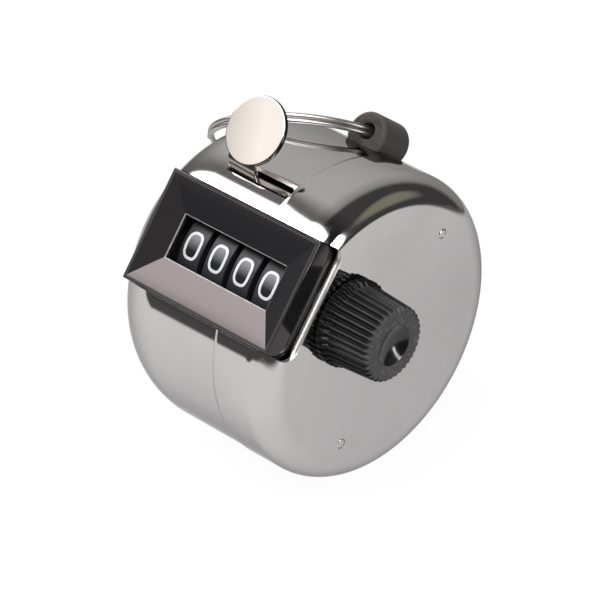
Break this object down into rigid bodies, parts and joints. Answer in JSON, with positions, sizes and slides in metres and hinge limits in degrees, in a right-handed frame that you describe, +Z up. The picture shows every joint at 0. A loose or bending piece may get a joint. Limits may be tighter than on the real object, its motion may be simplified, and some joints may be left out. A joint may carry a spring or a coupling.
{
  "type": "hand tally counter",
  "caption": "Hand tally counter: round chromed case with a sloped black number window, thumb lever, fluted reset knob, number wheels on a shaft and a finger ring on a lug.",
  "frame": {"origin": "the middle of the narrow flat that the round case stands on, below the case's axis and in line with the middle of the number window", "axes": "+X along the wheel shaft towards the reset knob, +Y to the back, +Z up; the counter leans back on its round case as pictured"},
  "size_m": [0.0511, 0.0485, 0.0567],
  "materials": {
    "chrome_case": "bright plated sheet",
    "black_gloss": "gloss moulding",
    "wheel_black": "gloss black with white digits",
    "black_grip": "satin moulding with grooves",
    "nickel": "warm plated sheet",
    "ring_steel": "plated wire",
    "dark_lug": "dark satin",
    "steel": "turned",
    "plate_steel": "pressed sheet",
    "spring_steel": "spring temper",
    "brass": "turned"
  },
  "bodies": {
    "case": {"left_shell": "chrome_case", "right_shell": "chrome_case", "window_bezel": "black_gloss", "shaft_bush": "brass", "thrust_washers": "brass", "frame_left_plate": "plate_steel", "frame_right_plate": "plate_steel", "frame_spacers": "steel", "frame_cradle": "plate_steel", "left_stakes": "chrome_case", "right_stakes": "chrome_case", "lever_pin": "steel", "lever_spring": "spring_steel", "spring_bar": "plate_steel", "detent_comb": "spring_steel", "ring_lug": "dark_lug", "lug_nut": "steel"},
    "lever": {"thumb_lever": "nickel", "pawl_pin": "steel"},
    "pawl": {"drive_pawl": "spring_steel"},
    "knob": {"reset_knob": "black_grip", "wheel_shaft": "steel", "shaft_clips": "steel"},
    "ring": {"finger_ring": "ring_steel"},
    "wheel_thousands": {"number_wheel_thousands": "wheel_black", "reset_leaf_thousands": "spring_steel"},
    "wheel_hundreds": {"number_wheel_hundreds": "wheel_black", "reset_leaf_hundreds": "spring_steel"},
    "wheel_tens": {"number_wheel_tens": "wheel_black", "reset_leaf_tens": "spring_steel"},
    "wheel_units": {"number_wheel_units": "wheel_black", "reset_leaf_units": "spring_steel"}
  },
  "joints": [
    {"name": "lever_press", "type": "hinge", "parent": "case", "child": "lever", "pos_m": [0, -0.00704, 0.04211], "axis": [-1, 0, 0], "range_deg": [0, 17], "stiffness_Nm_per_rad": 0.08, "springref_deg": -6.88, "deforming": ["lever_spring"]},
    {"name": "pawl_swing", "type": "hinge", "parent": "lever", "child": "pawl", "pos_m": [0, 0.0095, 0.03673], "axis": [-1, 0, 0], "range_deg": [-12, 1]},
    {"name": "knob_turn", "type": "hinge", "parent": "case", "child": "knob", "pos_m": [0, -0.00738, 0.02951], "axis": [1, 0, 0], "continuous": true},
    {"name": "ring_swing", "type": "hinge", "parent": "case", "child": "ring", "pos_m": [0.0002, 0.01565, 0.04449], "axis": [0, 0.7934, -0.6088], "range_deg": [0, 200]},
    {"name": "wheel_thousands_turn", "type": "hinge", "parent": "case", "child": "wheel_thousands", "pos_m": [0, -0.00738, 0.02951], "axis": [1, 0, 0], "continuous": true},
    {"name": "wheel_hundreds_turn", "type": "hinge", "parent": "case", "child": "wheel_hundreds", "pos_m": [0, -0.00738, 0.02951], "axis": [1, 0, 0], "continuous": true},
    {"name": "wheel_tens_turn", "type": "hinge", "parent": "case", "child": "wheel_tens", "pos_m": [0, -0.00738, 0.02951], "axis": [1, 0, 0], "continuous": true},
    {"name": "wheel_units_turn", "type": "hinge", "parent": "case", "child": "wheel_units", "pos_m": [0, -0.00738, 0.02951], "axis": [1, 0, 0], "continuous": true}
  ],
  "couplings": [
    {"joint": "pawl_swing", "follows": "lever_press", "ratio": -0.665}
  ]
}
